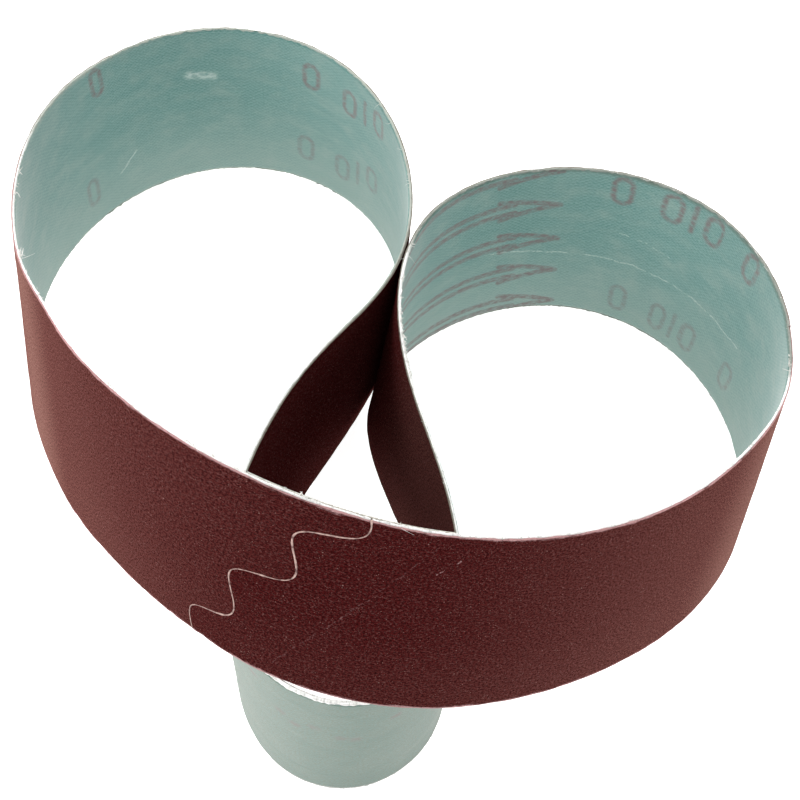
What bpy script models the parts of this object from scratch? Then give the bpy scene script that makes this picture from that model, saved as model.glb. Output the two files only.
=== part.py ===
"""A cloth-backed sanding belt for a narrow belt sander, standing on its edge in three loops.

The belt is made flat, as a real one is: a long strip whose two ends are cut to the same slanting wave,
with a shallow recess across the back for the tape that joins them. It is then bent along its path, which
runs through a left loop, a small loop under the front span and a right loop, back to the joint.
Flat, x runs along the belt, y up from its lower edge, and z is 0 in the middle of its thickness, with the
abrasive below and the cloth above.
"""

import math

import bmesh
import bpy
import numpy as np

MM = 0.001

# The strip
BELT_LENGTH = 914.4 * MM
BELT_WIDTH = 50.8 * MM
BELT_THICKNESS = 1.0 * MM

# The butt joint: a wave along a line that slants across the belt
JOINT_PLACE = -9.8 * MM
JOINT_SLANT = math.radians(27)
JOINT_WAVE_PITCH = 19.7 * MM
JOINT_WAVE_HEIGHT = 4.0 * MM
JOINT_WAVE_LEAD = 1.2 * MM
JOINT_WAVE_STEPS = 14
JOINT_OVERRUN = 1.3
JOINT_GAP = 0.5 * MM

# The tape behind the joint, in its recess in the cloth
TAPE_WIDTH = 35 * MM
TAPE_THICKNESS = 0.25 * MM
TAPE_RECESS = 0.35 * MM
RECESS_OVERRUN = BELT_WIDTH / 8
SEAT_GAP = 0.3 * MM

# Where the two legs lie face to face: the heading of the line between them, and the air that is left
LEGS_HEADING = math.radians(62)
LEGS_GAP = 0.5 * MM

# How finely the path is read, and how finely the flat belt is scored before it is bent
PATH_STEPS = 2880
DRAWN_STEPS = 8 * PATH_STEPS
STRETCH_ROUNDS = 20
SEGMENT = 2.54 * MM
ROWS = 3

# Cutting: points nearer than these are one, faces within FLAT_ANGLE are one face, edges over SHARP_ANGLE stay crisp
WELD = 0.01 * MM
ON_PLANE = 0.001 * MM
FLAT_ANGLE = math.radians(0.05)
SHARP_ANGLE = math.radians(40)

# A face of the flat belt belongs to the abrasive when it looks down at least this much
ABRASIVE_FACING = -0.5

# The belt passes these places in turn. Each is drawn as x and y of its middle, in millimetres, how far its
# lower edge has climbed, in belt widths, and its lean, in degrees. The drawing is then brought to BELT_LENGTH.
FRONT_SPAN = (
    (43.5, -76.0, 0.69, 8),
    (5.5, -84.5, 0.97, 16),
    (-40.5, -70.5, 1.26, 17),
    (-63.5, -39.0, 1.04, 11),
)
LEFT_LOOP = (
    (-76.5, -5.5, 0.60, 11),
    (-85.0, 29.0, 0.22, 6),
    (-80.5, 66.5, 0.09, -1),
    (-64.0, 91.5, 0.01, -6),
    (-30.0, 102.0, 0, -7),
    (0.5, 86.5, 0, -4),
    (13.0, 55.0, 0, -2),
)
LEFT_LEG = (
    (4.5, 20.5, 0, -5),
    (-13.0, -1.0, 0, 0),
    (-34.5, -34.5, 0, 0),
)
SMALL_LOOP = (
    (-39.5, -69.0, 0, 0),
    (-28.5, -85.0, 0, -1),
    (-14.0, -89.5, 0, 1),
    (1.0, -82.5, 0, 2),
)
RIGHT_LEG = (
    (9.0, -42.5, 0, 4),
    (2.0, -5.5, 0.02, 8),
    (2.0, 10.0, 0.03, 9),
)
RIGHT_LOOP = (
    (17.5, 35.0, 0.01, -2),
    (54.0, 43.5, 0, -8),
    (86.5, 23.0, 0, -11),
    (94.0, -17.0, 0.03, -5),
    (75.5, -51.5, 0.35, 3),
)


def clear_scene():
    for old in list(bpy.data.objects):
        bpy.data.objects.remove(old, do_unlink=True)


def closed_spline(places, samples):
    """Points evenly spaced in the parameter of a smooth closed curve through the places.

    The curve is a cubic between each two places, whose second derivative, found from one set of linear
    equations, agrees on both sides of every place.
    """
    count = len(places)
    following = np.roll(places, -1, axis=0)
    chord = np.linalg.norm((following - places)[:, :2], axis=1)
    before = np.roll(chord, 1)
    matrix = np.diag(2 * (before + chord))
    rows = np.arange(count)
    matrix[rows, rows - 1] = before
    matrix[rows, (rows + 1) % count] = chord
    slope = (following - places) / chord[:, None]
    curvature = np.linalg.solve(matrix, 6 * (slope - np.roll(slope, 1, axis=0)))
    along = np.linspace(0, chord.sum(), samples, endpoint=False)
    start = np.concatenate([[0], np.cumsum(chord)])
    piece = np.searchsorted(start, along, side="right") - 1
    near = (along - start[piece])[:, None]
    far = chord[piece][:, None] - near
    span = chord[piece][:, None]
    here, there = curvature[piece], np.roll(curvature, -1, axis=0)[piece]
    cubic = (here * far**3 + there * near**3) / (6 * span)
    line = (places[piece] / span - here * span / 6) * far
    return cubic + line + (following[piece] / span - there * span / 6) * near


def unit(vectors):
    return vectors / np.linalg.norm(vectors, axis=1)[:, None]


class Path:
    """The belt's middle line, the direction along it and the direction across it, at even steps."""

    def __init__(self):
        aside = (BELT_THICKNESS + LEGS_GAP) / 2 / self.stretch(self.draw(0))
        drawn = self.draw(aside)
        foot = drawn[:, :3].copy()
        foot[:, :2] *= self.stretch(foot)
        length = np.concatenate([[0], np.cumsum(np.linalg.norm(np.roll(foot, -1, axis=0) - foot, axis=1))])
        self.step = length[-1] / PATH_STEPS
        even = np.arange(PATH_STEPS) * self.step
        lean = np.radians(self.read(even, length, drawn[:, 3:]))
        foot = self.read(even, length, foot)
        self.along = unit(np.roll(foot, -1, axis=0) - np.roll(foot, 1, axis=0))
        upright = unit(np.array((0, 0, 1.0)) - self.along * self.along[:, 2:])
        level = np.cross(self.along, upright)
        self.across = np.cos(lean) * upright + np.sin(lean) * level
        self.middle = foot
        self.middle[:, 2:] += BELT_WIDTH / 2 * self.across[:, 2:] + BELT_THICKNESS / 2 * np.abs(np.sin(lean))

    @staticmethod
    def draw(aside):
        """The curve of the lower edge, in metres, and its lean in degrees, before it is brought to length.

        Each leg's places are those where the two would touch, and it moves aside from there.
        """
        step = np.array((math.sin(LEGS_HEADING), -math.cos(LEGS_HEADING), 0, 0)) * aside / MM
        left = np.array(LEFT_LEG, float) - step
        right = np.array(RIGHT_LEG, float) + step
        groups = (FRONT_SPAN[2:], LEFT_LOOP, left, SMALL_LOOP, right, RIGHT_LOOP, FRONT_SPAN[:2])
        places = np.concatenate([np.array(group, float) for group in groups])
        drawn = closed_spline(places, DRAWN_STEPS) * (MM, MM, BELT_WIDTH, 1)
        drawn[:, 2] = np.maximum(drawn[:, 2], 0)
        return drawn

    @staticmethod
    def read(even, length, values):
        closed = np.concatenate([values, values[:1]])
        return np.stack([np.interp(even, length, column) for column in closed.T], axis=1)

    @staticmethod
    def stretch(foot):
        """How much wider the plan is than drawn, for a belt of BELT_LENGTH with these climbs."""
        sides = np.roll(foot, -1, axis=0) - foot
        plan, climb = np.hypot(sides[:, 0], sides[:, 1]), sides[:, 2]
        factor = 1.0
        for _ in range(STRETCH_ROUNDS):
            factor *= BELT_LENGTH / np.hypot(factor * plan, climb).sum()
        return factor

    def at(self, along):
        """Middle line and directions at distances along the belt, for arrays."""
        place = np.mod(along / self.step, len(self.middle))
        low = np.floor(place).astype(int) % len(self.middle)
        share = (place - np.floor(place))[:, None]
        high = (low + 1) % len(self.middle)
        blend = [(1 - share) * field[low] + share * field[high] for field in (self.middle, self.along, self.across)]
        return blend[0], unit(blend[1]), unit(blend[2])


def bend(mesh, path):
    """Carries a flat mesh onto the path: x goes along it, y across it and z towards the cloth side."""
    flat = np.empty(len(mesh.vertices) * 3, np.float32)
    mesh.vertices.foreach_get("co", flat)
    flat = flat.reshape(-1, 3).astype(float)
    middle, along, across = path.at(flat[:, 0])
    outwards = unit(np.cross(along, across))
    bent = middle + (flat[:, 1:2] - BELT_WIDTH / 2) * across + flat[:, 2:] * outwards
    mesh.vertices.foreach_set("co", bent.astype(np.float32).ravel())
    mesh.update()


def joint_line(shift):
    """The wave between the belt's ends, from the lower edge to the upper one, as x and y on the flat belt.

    It swings to each side of a line that slants across the belt. Shift moves it square to that line.
    """
    run = BELT_WIDTH / math.cos(JOINT_SLANT)
    steps = round(JOINT_OVERRUN * run / JOINT_WAVE_PITCH * JOINT_WAVE_STEPS)
    way = np.linspace(-0.5, 0.5, steps + 1) * JOINT_OVERRUN * run
    swing = shift - JOINT_WAVE_HEIGHT * np.sin(2 * math.pi * (way - JOINT_WAVE_LEAD) / JOINT_WAVE_PITCH)
    x = JOINT_PLACE - way * math.sin(JOINT_SLANT) + swing * math.cos(JOINT_SLANT)
    y = BELT_WIDTH / 2 + way * math.cos(JOINT_SLANT) + swing * math.sin(JOINT_SLANT)
    return np.stack([x, y], axis=1)


def join_flat_faces(form):
    """Makes one face of those that lie in one plane, so that a later score cuts nothing but the outline."""
    bmesh.ops.dissolve_limit(form, angle_limit=FLAT_ANGLE, verts=[], edges=form.edges[:])


def slab(name, outline, low, high):
    """A flat solid between two levels, from a closed outline on the flat belt."""
    curve = bpy.data.curves.new(name, "CURVE")
    curve.dimensions = "2D"
    curve.fill_mode = "BOTH"
    curve.extrude = (high - low) / 2
    spline = curve.splines.new("POLY")
    spline.points.add(len(outline) - 1)
    for point, (x, y) in zip(spline.points, outline):
        point.co = (x, y, 0, 1)
    spline.use_cyclic_u = True
    source = bpy.data.objects.new(name + "_outline", curve)
    bpy.context.scene.collection.objects.link(source)
    graph = bpy.context.evaluated_depsgraph_get()
    mesh = bpy.data.meshes.new_from_object(source.evaluated_get(graph))
    bpy.data.objects.remove(source, do_unlink=True)
    form = bmesh.new()
    form.from_mesh(mesh)
    bmesh.ops.remove_doubles(form, verts=form.verts, dist=WELD)
    bmesh.ops.translate(form, verts=form.verts, vec=(0, 0, (low + high) / 2))
    join_flat_faces(form)
    form.to_mesh(mesh)
    form.free()
    solid = bpy.data.objects.new(name, mesh)
    return solid


def trim(form, point, normal):
    """Takes away what lies on the normal's side of a plane, and closes the cut."""
    every = form.verts[:] + form.edges[:] + form.faces[:]
    cut = bmesh.ops.bisect_plane(
        form, geom=every, dist=ON_PLANE, plane_co=point, plane_no=normal, clear_outer=True
    )
    edges = [item for item in cut["geom_cut"] if isinstance(item, bmesh.types.BMEdge)]
    if edges:
        bmesh.ops.holes_fill(form, edges=edges)


def score(form, point, normal):
    """Cuts the faces along a plane and keeps both sides."""
    every = form.verts[:] + form.edges[:] + form.faces[:]
    bmesh.ops.bisect_plane(form, geom=every, dist=ON_PLANE, plane_co=point, plane_no=normal)


def divide(mesh, first, last):
    """Scores a flat solid every SEGMENT along and in ROWS across, so that it can bend, and leaves triangles."""
    form = bmesh.new()
    form.from_mesh(mesh)
    join_flat_faces(form)
    for x in np.arange(math.ceil(first / SEGMENT) * SEGMENT, last, SEGMENT):
        score(form, (x, 0, 0), (1, 0, 0))
    for row in range(1, ROWS):
        score(form, (0, BELT_WIDTH * row / ROWS, 0), (0, 1, 0))
    bmesh.ops.triangulate(form, faces=form.faces[:])
    bmesh.ops.recalc_face_normals(form, faces=form.faces[:])
    form.to_mesh(mesh)
    form.free()


def finish(name, red, green, blue, roughness):
    material = bpy.data.materials.new(name)
    material.use_nodes = True
    shader = material.node_tree.nodes["Principled BSDF"]
    shader.inputs["Base Color"].default_value = (red, green, blue, 1)
    shader.inputs["Roughness"].default_value = roughness
    shader.inputs["Metallic"].default_value = 0
    material.diffuse_color = (red, green, blue, 1)
    return material


def flat_strip(cutters):
    """The belt before it is bent: wavy at both ends, with the tape's recess across its back."""
    start = joint_line(JOINT_GAP / 2)
    end = joint_line(-JOINT_GAP / 2) + (BELT_LENGTH, 0)
    outline = np.concatenate([end, start[::-1]])
    strip = slab("abrasive_belt", outline, -BELT_THICKNESS / 2, BELT_THICKNESS / 2)
    bpy.context.scene.collection.objects.link(strip)
    form = bmesh.new()
    form.from_mesh(strip.data)
    trim(form, (0, 0, 0), (0, -1, 0))
    trim(form, (0, BELT_WIDTH, 0), (0, 1, 0))
    form.to_mesh(strip.data)
    form.free()
    for end_place, label in ((0, "start"), (BELT_LENGTH, "end")):
        recess = band_solid(
            "recess_" + label,
            end_place,
            TAPE_WIDTH / 2 + SEAT_GAP,
            BELT_THICKNESS / 2 - TAPE_RECESS,
            BELT_THICKNESS,
            RECESS_OVERRUN,
        )
        recess.hide_render = True
        recess.display_type = "WIRE"
        cutters.objects.link(recess)
        cut = strip.modifiers.new("recess " + label, "BOOLEAN")
        cut.operation = "DIFFERENCE"
        cut.object = recess
    return strip


def band_solid(name, place, half, low, high, beyond):
    """A flat solid along the joint's slanting line, half of its width to each side, past the edges by beyond."""
    tilt = np.array((-math.tan(JOINT_SLANT), 1))
    reach = half / math.cos(JOINT_SLANT)
    foot = np.array((place + JOINT_PLACE, BELT_WIDTH / 2))
    up = tilt * (BELT_WIDTH / 2 + beyond)
    side = np.array((reach, 0))
    outline = (foot - side - up, foot + side - up, foot + side + up, foot - side + up)
    return slab(name, outline, low, high)


def apply_modifiers(thing):
    graph = bpy.context.evaluated_depsgraph_get()
    mesh = bpy.data.meshes.new_from_object(thing.evaluated_get(graph))
    thing.modifiers.clear()
    thing.data = mesh


def build_belt(path, parts, cutters):
    strip = flat_strip(cutters)
    bpy.context.view_layer.update()
    apply_modifiers(strip)
    margin = TAPE_WIDTH + BELT_WIDTH
    divide(strip.data, JOINT_PLACE - margin, BELT_LENGTH + margin)
    strip.data.materials.clear()
    strip.data.materials.append(finish("abrasive grain", 0.095, 0.022, 0.022, 0.85))
    strip.data.materials.append(finish("dyed cloth", 0.24, 0.40, 0.36, 0.9))
    for face in strip.data.polygons:
        face.material_index = 0 if face.normal.z <= ABRASIVE_FACING else 1
    bend(strip.data, path)
    strip.data.shade_smooth()
    strip.data.set_sharp_from_angle(angle=SHARP_ANGLE)
    bpy.context.scene.collection.objects.unlink(strip)
    parts.objects.link(strip)
    return strip


def build_tape(path, parts):
    floor = BELT_THICKNESS / 2 - TAPE_RECESS + SEAT_GAP
    tape = band_solid("joint_tape", 0, TAPE_WIDTH / 2, floor, floor + TAPE_THICKNESS, 0)
    divide(tape.data, JOINT_PLACE - TAPE_WIDTH - BELT_WIDTH, JOINT_PLACE + TAPE_WIDTH + BELT_WIDTH)
    tape.data.materials.append(finish("joint tape film", 0.45, 0.42, 0.34, 0.45))
    bend(tape.data, path)
    tape.data.shade_smooth()
    tape.data.set_sharp_from_angle(angle=SHARP_ANGLE)
    parts.objects.link(tape)
    return tape


def stand_on_table(things):
    """Puts the origin at the middle of the foot of the whole belt."""
    corners = []
    for thing in things:
        points = np.empty(len(thing.data.vertices) * 3, np.float32)
        thing.data.vertices.foreach_get("co", points)
        corners.append(points.reshape(-1, 3))
    every = np.concatenate(corners)
    low, high = every.min(axis=0), every.max(axis=0)
    shift = -np.array(((low[0] + high[0]) / 2, (low[1] + high[1]) / 2, low[2]))
    for thing, points in zip(things, corners):
        thing.data.vertices.foreach_set("co", (points + shift).astype(np.float32).ravel())
        thing.data.update()


clear_scene()
belt_parts = bpy.data.collections.new("sanding_belt")
belt_cutters = bpy.data.collections.new("cutters")
bpy.context.scene.collection.children.link(belt_parts)
bpy.context.scene.collection.children.link(belt_cutters)
belt_path = Path()
pieces = [build_belt(belt_path, belt_parts, belt_cutters), build_tape(belt_path, belt_parts)]
stand_on_table(pieces)
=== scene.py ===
"""The looks of a cloth-backed sanding belt that stands on its edge in three loops, on a white studio floor.

The belt is drawn flat and bent along its path. Flat, x runs along the belt, y up from its lower edge, and z
is 0 in the middle of its thickness, with the abrasive below and the cloth above. Lengths are in metres, and
names that end in _MM are in millimetres. Every surface keeps its flat x and y as a UV map, in metres, so
that grain, weave, print and scratches lie on the belt as they did before it was bent.
"""

import math

import bpy
import numpy as np
from mathutils import Matrix


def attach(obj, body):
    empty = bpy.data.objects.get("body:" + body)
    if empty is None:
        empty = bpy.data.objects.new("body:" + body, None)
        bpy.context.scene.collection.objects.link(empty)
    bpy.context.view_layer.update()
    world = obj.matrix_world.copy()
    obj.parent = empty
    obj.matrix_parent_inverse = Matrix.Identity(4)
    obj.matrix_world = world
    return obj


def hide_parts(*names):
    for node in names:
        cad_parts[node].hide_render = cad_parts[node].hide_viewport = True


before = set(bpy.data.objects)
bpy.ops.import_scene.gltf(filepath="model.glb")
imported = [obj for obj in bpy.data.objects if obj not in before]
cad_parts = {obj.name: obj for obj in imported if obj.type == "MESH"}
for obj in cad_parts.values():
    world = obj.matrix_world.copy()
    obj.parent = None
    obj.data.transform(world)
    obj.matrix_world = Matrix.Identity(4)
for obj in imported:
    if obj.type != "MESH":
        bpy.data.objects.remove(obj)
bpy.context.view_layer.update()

# Cloth backing
# A grey-green dyed cotton twill, cut 2 by 36 inches, printed with faded ink and scratched by handling. It is
# drawn with the path that all of the belt follows: the lower edge's places as x and y in millimetres, its
# climb in belt widths and its lean in degrees, from the joint on round the three loops.

MM = 0.001
BELT_LENGTH = 914.4 * MM
BELT_WIDTH = 50.8 * MM
CLOTH_FACE = 0.5 * MM
GRAIN_FACE = -0.5 * MM
BOND_LEVEL = -0.2 * MM
LEGS_HEADING = math.radians(62)
LEGS_GAP = 0.5 * MM
PATH_STEPS = 2880
DRAWN_STEPS = 8 * PATH_STEPS
STRETCH_ROUNDS = 20

FRONT_SPAN = (
    (43.5, -76.0, 0.69, 8),
    (5.5, -84.5, 0.97, 16),
    (-40.5, -70.5, 1.26, 17),
    (-63.5, -39.0, 1.04, 11),
)
LEFT_LOOP = (
    (-76.5, -5.5, 0.60, 11),
    (-85.0, 29.0, 0.22, 6),
    (-80.5, 66.5, 0.09, -1),
    (-64.0, 91.5, 0.01, -6),
    (-30.0, 102.0, 0, -7),
    (0.5, 86.5, 0, -4),
    (13.0, 55.0, 0, -2),
)
LEFT_LEG = ((4.5, 20.5, 0, -5), (-13.0, -1.0, 0, 0), (-34.5, -34.5, 0, 0))
SMALL_LOOP = ((-39.5, -69.0, 0, 0), (-28.5, -85.0, 0, -1), (-14.0, -89.5, 0, 1), (1.0, -82.5, 0, 2))
RIGHT_LEG = ((9.0, -42.5, 0, 4), (2.0, -5.5, 0.02, 8), (2.0, 10.0, 0.03, 9))
RIGHT_LOOP = (
    (17.5, 35.0, 0.01, -2),
    (54.0, 43.5, 0, -8),
    (86.5, 23.0, 0, -11),
    (94.0, -17.0, 0.03, -5),
    (75.5, -51.5, 0.35, 3),
)


def unit(vectors):
    """Vectors over their own lengths."""
    return vectors / np.linalg.norm(vectors, axis=-1, keepdims=True)


def closed_spline(places, samples):
    """Points on a smooth closed curve through the places, even in its parameter.

    Between two places it is a cubic. The second derivatives, from one set of linear equations, agree on both
    sides of every place.
    """
    count = len(places)
    following = np.roll(places, -1, axis=0)
    chord = np.linalg.norm((following - places)[:, :2], axis=1)
    before = np.roll(chord, 1)
    matrix = np.diag(2 * (before + chord))
    rows = np.arange(count)
    matrix[rows, rows - 1] = before
    matrix[rows, (rows + 1) % count] = chord
    slope = (following - places) / chord[:, None]
    curvature = np.linalg.solve(matrix, 6 * (slope - np.roll(slope, 1, axis=0)))
    along = np.linspace(0, chord.sum(), samples, endpoint=False)
    start = np.concatenate([[0], np.cumsum(chord)])
    piece = np.searchsorted(start, along, side="right") - 1
    near = (along - start[piece])[:, None]
    far = chord[piece][:, None] - near
    span = chord[piece][:, None]
    here, there = curvature[piece], np.roll(curvature, -1, axis=0)[piece]
    cubic = (here * far**3 + there * near**3) / (6 * span)
    line = (places[piece] / span - here * span / 6) * far
    return cubic + line + (following[piece] / span - there * span / 6) * near


def stretch(foot):
    """How much wider the plan is than drawn, for a belt of BELT_LENGTH with these climbs.

    Each round corrects the factor by BELT_LENGTH over the length that the factor gives.
    """
    sides = np.roll(foot, -1, axis=0) - foot
    plan, climb = np.hypot(sides[:, 0], sides[:, 1]), sides[:, 2]
    factor = 1.0
    for _ in range(STRETCH_ROUNDS):
        factor *= BELT_LENGTH / np.hypot(factor * plan, climb).sum()
    return factor


def drawn_path(aside):
    """The lower edge as drawn, and its lean, from the third place of the front span on.

    Each leg is moved aside, square to its heading, from where the two would touch. A spline swings a little
    below the floor between its places, and is held at the floor.
    """
    step = np.array((math.sin(LEGS_HEADING), -math.cos(LEGS_HEADING), 0, 0)) * aside / MM
    left = np.array(LEFT_LEG, float) - step
    right = np.array(RIGHT_LEG, float) + step
    groups = (FRONT_SPAN[2:], LEFT_LOOP, left, SMALL_LOOP, right, RIGHT_LOOP, FRONT_SPAN[:2])
    places = np.concatenate([np.array(group, float) for group in groups])
    drawn = closed_spline(places, DRAWN_STEPS) * (MM, MM, BELT_WIDTH, 1)
    drawn[:, 2] = np.maximum(drawn[:, 2], 0)
    return drawn


def even_path():
    """Middle line, direction along and direction across at even steps round the belt.

    Across is the upright direction square to the middle line, turned by the lean.
    """
    thickness = CLOTH_FACE - GRAIN_FACE
    drawn = drawn_path((thickness + LEGS_GAP) / 2 / stretch(drawn_path(0)))
    foot = drawn[:, :3].copy()
    foot[:, :2] *= stretch(foot)
    sides = np.linalg.norm(np.roll(foot, -1, axis=0) - foot, axis=1)
    length = np.concatenate([[0], np.cumsum(sides)])
    even = np.arange(PATH_STEPS) * length[-1] / PATH_STEPS
    columns = [np.interp(even, length, np.append(column, column[0])) for column in (*foot.T, drawn[:, 3])]
    middle, lean = np.stack(columns[:3], axis=1), np.radians(columns[3])[:, None]
    along = unit(np.roll(middle, -1, axis=0) - np.roll(middle, 1, axis=0))
    upright = unit(np.array((0, 0, 1.0)) - along * along[:, 2:])
    across = np.cos(lean) * upright + np.sin(lean) * np.cross(along, upright)
    middle[:, 2:] += BELT_WIDTH / 2 * across[:, 2:] + thickness / 2 * np.abs(np.sin(lean))
    return middle, along, across


def bent(flat):
    """Carries flat points onto the path: x goes along it, y across it and z towards the cloth side.

    The middle line and the directions are read between the two nearest steps, in their shares. Out is the
    cross product of along and across.
    """
    place = np.mod(flat[..., 0] / path_step, PATH_STEPS)
    low = np.floor(place).astype(int) % PATH_STEPS
    share = (place - np.floor(place))[..., None]
    high = (low + 1) % PATH_STEPS
    middle, along, across = ((1 - share) * field[low] + share * field[high] for field in path)
    out = unit(np.cross(along, across))
    return middle + (flat[..., 1:2] - BELT_WIDTH / 2) * unit(across) + flat[..., 2:3] * out


path = even_path()
path_step = BELT_LENGTH / PATH_STEPS
ends_of_box = [
    bent(np.stack(np.broadcast_arrays(np.arange(PATH_STEPS) * path_step, y, z), axis=-1))
    for y in (0, BELT_WIDTH)
    for z in (GRAIN_FACE, CLOTH_FACE)
]
lowest, highest = np.min(ends_of_box, axis=(0, 1)), np.max(ends_of_box, axis=(0, 1))
path[0][:] -= ((lowest[0] + highest[0]) / 2, (lowest[1] + highest[1]) / 2, lowest[2])

# The butt joint, a wave along a line that slants across the belt, cuts the cloth and the grain alike.
JOINT_PLACE = -9.8 * MM
JOINT_SLANT = math.radians(27)
JOINT_WAVE_PITCH = 19.7 * MM
JOINT_WAVE_HEIGHT = 4.0 * MM
JOINT_WAVE_LEAD = 1.2 * MM
JOINT_GAP = 0.42 * MM
JOINT_REACH = 60 * MM
JOINT_SAMPLES = 4001
ROW_COUNT = 60
COLUMN_PITCH = 1.2 * MM
EDGE_TUCK = 0.12 * MM
EDGE_CHAMFER = 0.75 * MM
SHARP_ANGLE = math.radians(50)
SAG = 0.035 * MM
CLOTH_RIPPLE = 0.012 * MM


def joint_wave(way):
    """The joint as flat x and y, at ways along its slanting line from the belt's middle."""
    swing = -JOINT_WAVE_HEIGHT * np.sin(2 * math.pi * (way - JOINT_WAVE_LEAD) / JOINT_WAVE_PITCH)
    x = JOINT_PLACE - way * math.sin(JOINT_SLANT) + swing * math.cos(JOINT_SLANT)
    y = BELT_WIDTH / 2 + way * math.cos(JOINT_SLANT) + swing * math.sin(JOINT_SLANT)
    return x, y


def joint_rows(rows):
    """Points of the joint from the lower edge to the upper one, evenly spaced along its slanting line."""
    way = np.linspace(-1, 1, JOINT_SAMPLES) * BELT_WIDTH
    first, last = np.interp((0, BELT_WIDTH), joint_wave(way)[1], way)
    return joint_wave(np.linspace(first, last, rows))


def ripples(seed, shape, widths):
    """Smooth random heights of unit spread: white noise, with waves shorter than the widths faded out."""
    waves = np.fft.fftn(np.random.default_rng(seed).normal(size=shape))
    for axis, width in enumerate(widths):
        fade = np.exp(-((math.pi * width * np.fft.fftfreq(shape[axis])) ** 2))
        waves *= fade.reshape([-1 if axis == other else 1 for other in range(len(shape))])
    heights = np.fft.ifftn(waves).real
    return heights / heights.std()


def belt_grid():
    """Flat x and y of a grid over the belt, cut along the joint, with columns that straighten away from it.

    Near the joint a column follows its wave, and the wave's share falls smoothly to none at JOINT_REACH.
    """
    joint_x, joint_y = joint_rows(ROW_COUNT)
    count = round(BELT_LENGTH / COLUMN_PITCH) + 1
    from_start = np.linspace(JOINT_GAP / 2, BELT_LENGTH - JOINT_GAP / 2, count)[:, None]
    nearest = np.minimum(from_start, BELT_LENGTH - from_start)
    share = np.clip(1 - nearest / JOINT_REACH, 0, 1)
    share = share * share * (3 - 2 * share)
    x = JOINT_PLACE + from_start + share * (joint_x - JOINT_PLACE)
    return x, np.broadcast_to(joint_y, x.shape).copy()


def piece_from(name, points, faces, flat):
    """A smooth mesh object from bent points and faces, with each point's flat x and y as its UV map."""
    mesh = bpy.data.meshes.new(name)
    mesh.from_pydata(points.reshape(-1, 3).tolist(), [], faces.tolist())
    corner = np.empty(len(mesh.loops), np.int32)
    mesh.loops.foreach_get("vertex_index", corner)
    uv = mesh.uv_layers.new(name="flat_metres")
    uv.data.foreach_set("uv", flat.reshape(-1, 2)[corner].astype(np.float32).ravel())
    mesh.shade_smooth()
    thing = bpy.data.objects.new(name, mesh)
    bpy.context.scene.collection.objects.link(thing)
    return thing


def wrapped_quads(rings, around):
    """Faces of a tube of rings, each a closed round of points, with a flat cap on both ends."""
    ring, place = np.meshgrid(np.arange(rings - 1), np.arange(around), indexing="ij")
    here, beside = ring * around + place, ring * around + (place + 1) % around
    sides = np.stack([here, beside, beside + around, here + around], axis=-1).reshape(-1, 4)
    last = (rings - 1) * around
    half = around // 2
    steps = np.arange(half - 1)
    cap = np.stack([steps, around - 1 - steps, around - 2 - steps, steps + 1], axis=-1)
    return np.concatenate([sides, cap, cap[:, ::-1] + last])


def laminate(name, x, y, low, high, y_high=None):
    """One layer of the belt as a closed body, between the levels low and high at every x and y.

    Every column is a closed round, up the high face and back down the low one. The high face may have a y
    of its own.
    """
    flat_low = np.stack([x, y, low], axis=-1)
    flat_high = np.stack([x, y if y_high is None else y_high, high], axis=-1)
    rounds = np.concatenate([flat_high, flat_low[:, ::-1]], axis=1)
    faces = wrapped_quads(len(rounds), rounds.shape[1])
    thing = piece_from(name, bent(rounds), faces, rounds[..., :2])
    thing.data.set_sharp_from_angle(angle=SHARP_ANGLE)
    return thing


def add(tree, kind, inputs=None, **settings):
    """A shader node with its settings, and its inputs set to values or linked from sockets."""
    node = tree.nodes.new(kind)
    for name, value in settings.items():
        setattr(node, name, value)
    for socket, value in (inputs or {}).items():
        if isinstance(value, bpy.types.NodeSocket):
            tree.links.new(value, node.inputs[socket])
        else:
            node.inputs[socket].default_value = value
    return node


def calc(tree, operation, *values):
    """One Math node's result."""
    return add(tree, "ShaderNodeMath", dict(enumerate(values)), operation=operation).outputs[0]


def times(tree, first, second):
    """The product of two values."""
    return calc(tree, "MULTIPLY", first, second)


def apart(tree, first, second):
    """How far apart two values are."""
    return calc(tree, "ABSOLUTE", calc(tree, "SUBTRACT", first, second))


def ramp(tree, value, low, high, start=0.0, end=1.0):
    """Value read from low to high, smoothly, as start to end."""
    inputs = {"Value": value, "From Min": low, "From Max": high, "To Min": start, "To Max": end}
    return add(tree, "ShaderNodeMapRange", inputs, interpolation_type="SMOOTHSTEP").outputs["Result"]


def blend(tree, share, first, second):
    """First colour where the share is 0 and second where it is 1."""
    node = add(tree, "ShaderNodeMix", {"Factor": share}, data_type="RGBA")
    for socket, value in (("A", first), ("B", second)):
        slot = next(item for item in node.inputs if item.identifier == socket + "_Color")
        if isinstance(value, bpy.types.NodeSocket):
            tree.links.new(value, slot)
        else:
            slot.default_value = (*value, 1)
    return next(item for item in node.outputs if item.identifier == "Result_Color")


def noise(tree, place, across, along, detail=2.0, roughness=0.5):
    """Noise on the flat belt, in patches of about that size along and across, from 0 to 1."""
    size = add(tree, "ShaderNodeVectorMath", {0: place, 1: (1 / along, 1 / across, 1)}, operation="MULTIPLY")
    inputs = {"Vector": size.outputs[0], "Scale": 1.0, "Detail": detail, "Roughness": roughness}
    return add(tree, "ShaderNodeTexNoise", inputs).outputs["Fac"]


def new_group(name, inputs, outputs):
    """An empty shader node group, with its input and output nodes."""
    group = bpy.data.node_groups.new(name, "ShaderNodeTree")
    for direction, sockets in (("INPUT", inputs), ("OUTPUT", outputs)):
        for socket, kind in sockets.items():
            group.interface.new_socket(socket, in_out=direction, socket_type=kind)
    return group, group.nodes.new("NodeGroupInput").outputs, group.nodes.new("NodeGroupOutput").inputs


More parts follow.
